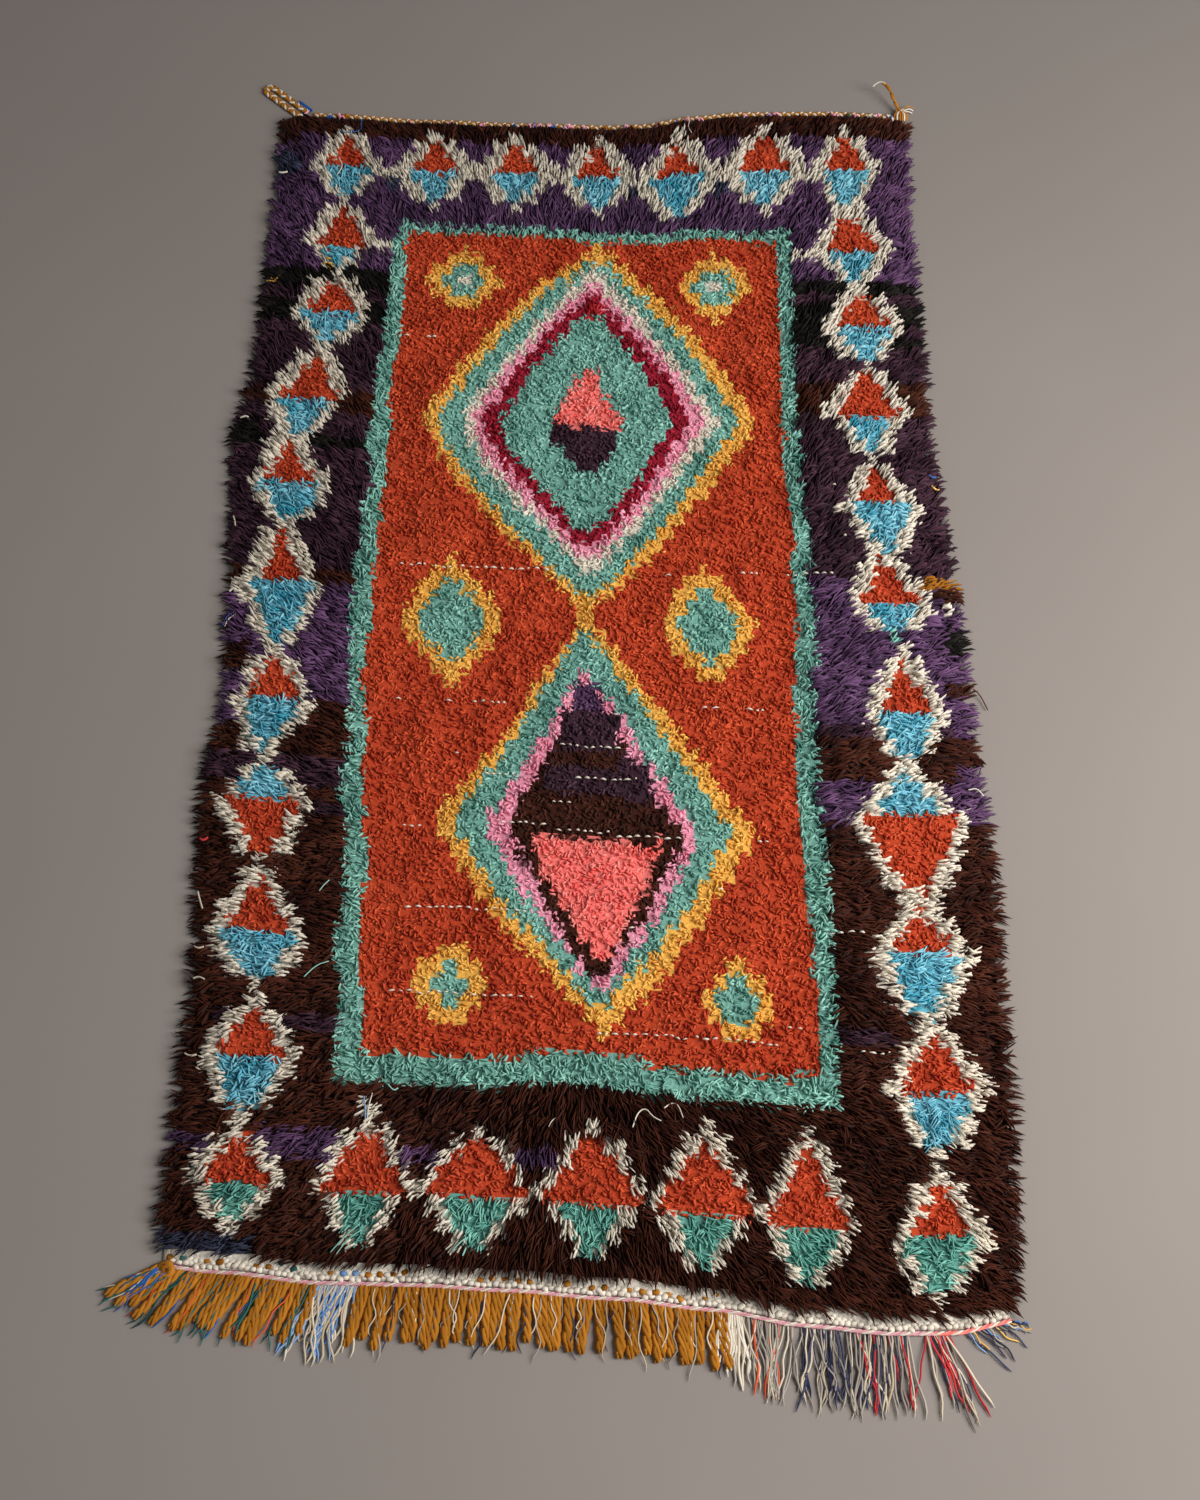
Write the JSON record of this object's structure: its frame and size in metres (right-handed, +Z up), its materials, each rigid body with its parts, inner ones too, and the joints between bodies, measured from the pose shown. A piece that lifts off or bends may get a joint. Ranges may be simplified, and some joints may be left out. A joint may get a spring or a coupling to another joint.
{
  "type": "rag rug",
  "caption": "Hand-knotted rag rug with shaggy pile, a stepped lozenge border, a braid at one end and a fringe at the other, lying flat.",
  "frame": {"origin": "on the floor, under the middle of the whole outline with its fringe and corner loop", "axes": "+Z up from the floor, +Y along the rug from the fringe to the braided end, +X to the right seen from above with the fringe nearest"},
  "size_m": [1.2714, 2.3964, 0.0349],
  "materials": {
    "pile": "cut rag and wool pile in many dyed colours, rust red ground",
    "fringe_yarn": "soft mustard wool locks with thin grey, ivory, blue and red yarns",
    "braid_yarn": "chained braid of mustard, ivory, pink and blue yarn",
    "tie_yarn": "loose mustard and ivory yarn"
  },
  "bodies": {
    "root": {"rug": "pile", "fringe": "fringe_yarn", "head_braid": "braid_yarn", "corner_loop": "braid_yarn", "corner_tie": "tie_yarn"}
  },
  "joints": []
}
